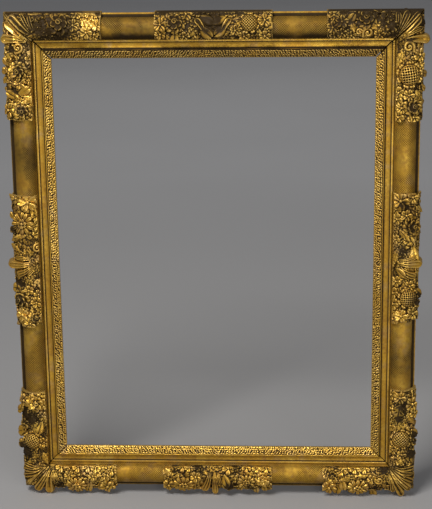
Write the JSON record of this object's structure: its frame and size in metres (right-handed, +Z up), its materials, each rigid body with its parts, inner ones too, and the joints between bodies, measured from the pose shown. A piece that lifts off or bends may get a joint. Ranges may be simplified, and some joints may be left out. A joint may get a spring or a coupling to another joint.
{
  "type": "carved gilded picture frame",
  "caption": "Upright gilded wooden picture frame with carved leaf corners and centres, a leaf sight edge, hanging rings and turn buttons at the back.",
  "frame": {"origin": "middle of the overall box at its lowest plane, where the frame stands on its bottom carving", "axes": "+Z up the frame, +X to the right as seen from the front, -Y out of the front face, +Y out of the back"},
  "size_m": [0.846, 0.0598, 1.0123],
  "materials": {
    "gilt_rail": "worn water gilding over red bole, cross-hatched panels, bare aged wood behind",
    "gilt_carving": "worn water gilding over carved gesso, dark patina in the hollows",
    "bare_wood": "aged bare oak",
    "forged_iron": "dark forged iron",
    "aged_brass": "dull aged brass"
  },
  "bodies": {
    "frame": {"button_nails": "forged_iron", "centre_carving_bottom": "gilt_carving", "centre_carving_left": "gilt_carving", "centre_carving_right": "gilt_carving", "centre_carving_top": "gilt_carving", "corner_carving_bottom_left_across": "gilt_carving", "corner_carving_bottom_left_upright": "gilt_carving", "corner_carving_bottom_right_across": "gilt_carving", "corner_carving_bottom_right_upright": "gilt_carving", "corner_carving_top_left_across": "gilt_carving", "corner_carving_top_left_upright": "gilt_carving", "corner_carving_top_right_across": "gilt_carving", "corner_carving_top_right_upright": "gilt_carving", "hanger_nails": "forged_iron", "hanger_strap_left": "forged_iron", "hanger_strap_right": "forged_iron", "mitre_key_bottom_left": "bare_wood", "mitre_key_bottom_right": "bare_wood", "mitre_key_top_left": "bare_wood", "mitre_key_top_right": "bare_wood", "rail_bottom": "gilt_rail", "rail_left": "gilt_rail", "rail_right": "gilt_rail", "rail_top": "gilt_rail", "sight_edge_bottom": "gilt_rail", "sight_edge_left": "gilt_rail", "sight_edge_right": "gilt_rail", "sight_edge_top": "gilt_rail"},
    "hanger_ring_left": {"hanger_ring_left": "forged_iron"},
    "hanger_ring_right": {"hanger_ring_right": "forged_iron"},
    "turn_button_left_lower": {"turn_button_left_lower": "aged_brass"},
    "turn_button_left_upper": {"turn_button_left_upper": "aged_brass"},
    "turn_button_right_upper": {"turn_button_right_upper": "aged_brass"},
    "turn_button_right_lower": {"turn_button_right_lower": "aged_brass"},
    "turn_button_top": {"turn_button_top": "aged_brass"},
    "turn_button_bottom": {"turn_button_bottom": "aged_brass"}
  },
  "joints": [
    {"name": "ring_left_swing", "type": "hinge", "parent": "frame", "child": "hanger_ring_left", "pos_m": [-0.3645, 0.02679, 0.73728], "axis": [1, 0, 0], "range_deg": [0, 180]},
    {"name": "ring_right_swing", "type": "hinge", "parent": "frame", "child": "hanger_ring_right", "pos_m": [0.3645, 0.02679, 0.73728], "axis": [1, 0, 0], "range_deg": [0, 180]},
    {"name": "button_left_lower_turn", "type": "hinge", "parent": "frame", "child": "turn_button_left_lower", "pos_m": [-0.335, 0.02436, 0.2678], "axis": [0, 1, 0], "continuous": true},
    {"name": "button_left_upper_turn", "type": "hinge", "parent": "frame", "child": "turn_button_left_upper", "pos_m": [-0.335, 0.02436, 0.7562], "axis": [0, 1, 0], "continuous": true},
    {"name": "button_right_upper_turn", "type": "hinge", "parent": "frame", "child": "turn_button_right_upper", "pos_m": [0.335, 0.02436, 0.7562], "axis": [0, 1, 0], "continuous": true},
    {"name": "button_right_lower_turn", "type": "hinge", "parent": "frame", "child": "turn_button_right_lower", "pos_m": [0.335, 0.02436, 0.2678], "axis": [0, 1, 0], "continuous": true},
    {"name": "button_top_turn", "type": "hinge", "parent": "frame", "child": "turn_button_top", "pos_m": [0, 0.02436, 0.936], "axis": [0, 1, 0], "continuous": true},
    {"name": "button_bottom_turn", "type": "hinge", "parent": "frame", "child": "turn_button_bottom", "pos_m": [0, 0.02436, 0.088], "axis": [0, 1, 0], "continuous": true}
  ]
}
